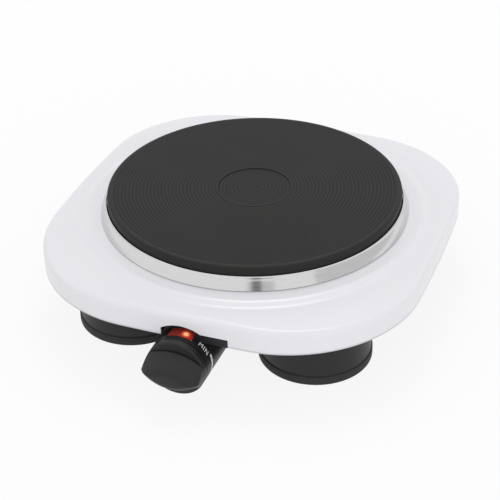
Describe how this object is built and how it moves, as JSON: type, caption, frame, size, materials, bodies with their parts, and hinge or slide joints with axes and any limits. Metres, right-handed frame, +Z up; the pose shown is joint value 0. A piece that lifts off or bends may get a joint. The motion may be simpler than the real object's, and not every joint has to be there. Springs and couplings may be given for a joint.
{
  "type": "electric hot plate",
  "caption": "Single electric hot plate: round cast iron plate in a polished ring on a white pressed shell, drum feet, and a thermostat knob in a black barrel at the front.",
  "frame": {"origin": "on the table, under the middle of the overall footprint, knob included", "axes": "+Z up; -Y is the front, where the knob is; +X to the right seen from the front"},
  "size_m": [0.2444, 0.2689, 0.073],
  "materials": {
    "white_enamel": "gloss stove enamel on pressed steel",
    "cast_iron": "turned and blackened",
    "stainless": "polished",
    "element_sheath": "heat darkened tube",
    "fibre": "pressed ceramic fibre",
    "zinc_steel": "zinc plated",
    "steatite": "unglazed steatite ceramic",
    "black_pan": "satin black heat resistant paint",
    "black_plastic": "satin moulded phenolic",
    "grey_rubber": "moulded rubber",
    "red_lens": "clear red polycarbonate",
    "neon_glass": "clear",
    "brass": "plain"
  },
  "bodies": {
    "base": {"top_shell": "white_enamel", "hot_plate": "cast_iron", "trim_ring": "stainless", "heating_element": "element_sheath", "insulation_pad": "fibre", "plate_cover": "zinc_steel", "element_beads": "steatite", "plate_stud": "zinc_steel", "cover_nut": "zinc_steel", "clamp_nut": "zinc_steel", "spring_washer": "zinc_steel", "clamp_bridge": "zinc_steel", "base_pan": "black_pan", "shell_studs": "zinc_steel", "base_screws": "zinc_steel", "foot_front_left": "black_plastic", "foot_front_right": "black_plastic", "foot_rear_left": "black_plastic", "foot_rear_right": "black_plastic", "foot_pad_front_left": "grey_rubber", "foot_pad_front_right": "grey_rubber", "foot_pad_rear_left": "grey_rubber", "foot_pad_rear_right": "grey_rubber", "foot_screws": "zinc_steel", "knob_housing": "black_plastic", "housing_back": "black_plastic", "housing_screws": "zinc_steel", "lamp_lens": "red_lens", "lamp_holder": "black_plastic", "neon_lamp": "neon_glass", "thermostat_body": "steatite", "thermostat_nut": "brass", "thermostat_tabs": "brass", "terminal_block": "steatite", "terminal_screws": "brass", "cord_gland": "black_plastic"},
    "knob": {"control_knob": "black_plastic", "thermostat_shaft": "zinc_steel", "knob_clip": "zinc_steel"}
  },
  "joints": [
    {"name": "knob_turn", "type": "hinge", "parent": "base", "child": "knob", "pos_m": [0, -0.11645, 0.0256], "axis": [0, 1, 0], "range_deg": [0, 270]}
  ]
}
